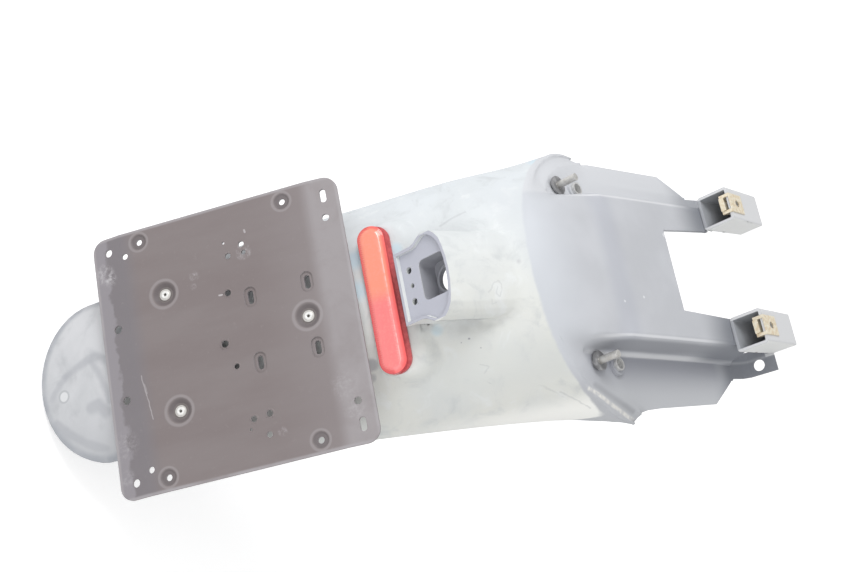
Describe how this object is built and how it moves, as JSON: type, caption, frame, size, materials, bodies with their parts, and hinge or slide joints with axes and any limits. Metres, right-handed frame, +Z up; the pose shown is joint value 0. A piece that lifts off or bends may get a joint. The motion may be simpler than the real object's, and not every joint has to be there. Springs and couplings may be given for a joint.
{
  "type": "motorcycle rear fender",
  "caption": "Rear fender with a tail flap, plate carrier, red reflector, hooded lamp pocket and two forward arms that end in open boxes with clip nuts.",
  "frame": {"origin": "midway between the screw holes of the two clip nuts, on their upper face", "axes": "as it sits on the vehicle: +X to the right, +Y forward, +Z up"},
  "size_m": [0.234, 0.4419, 0.4397],
  "materials": {
    "fender": "grained polypropylene, bleached by weather at the rear",
    "carrier": "satin",
    "rivets": "bare",
    "reflector_red": "prismatic, clear",
    "reflector_back": "moulded",
    "nuts": "zinc plated",
    "clips": "yellow zinc plated",
    "collars": "zinc plated",
    "grommets": "matt",
    "bolts": "dulled"
  },
  "bodies": {
    "root": {"fender_body": "fender", "plate_carrier": "carrier", "rivet_left": "rivets", "rivet_right": "rivets", "rivet_top": "rivets", "reflector_lens": "reflector_red", "reflector_back": "reflector_back", "reflector_nut_left": "nuts", "reflector_nut_right": "nuts", "clip_nut_left": "clips", "clip_nut_right": "clips", "collar_left": "collars", "collar_right": "collars", "grommet_left": "grommets", "grommet_right": "grommets", "bolt_left": "bolts", "bolt_right": "bolts"}
  },
  "joints": []
}
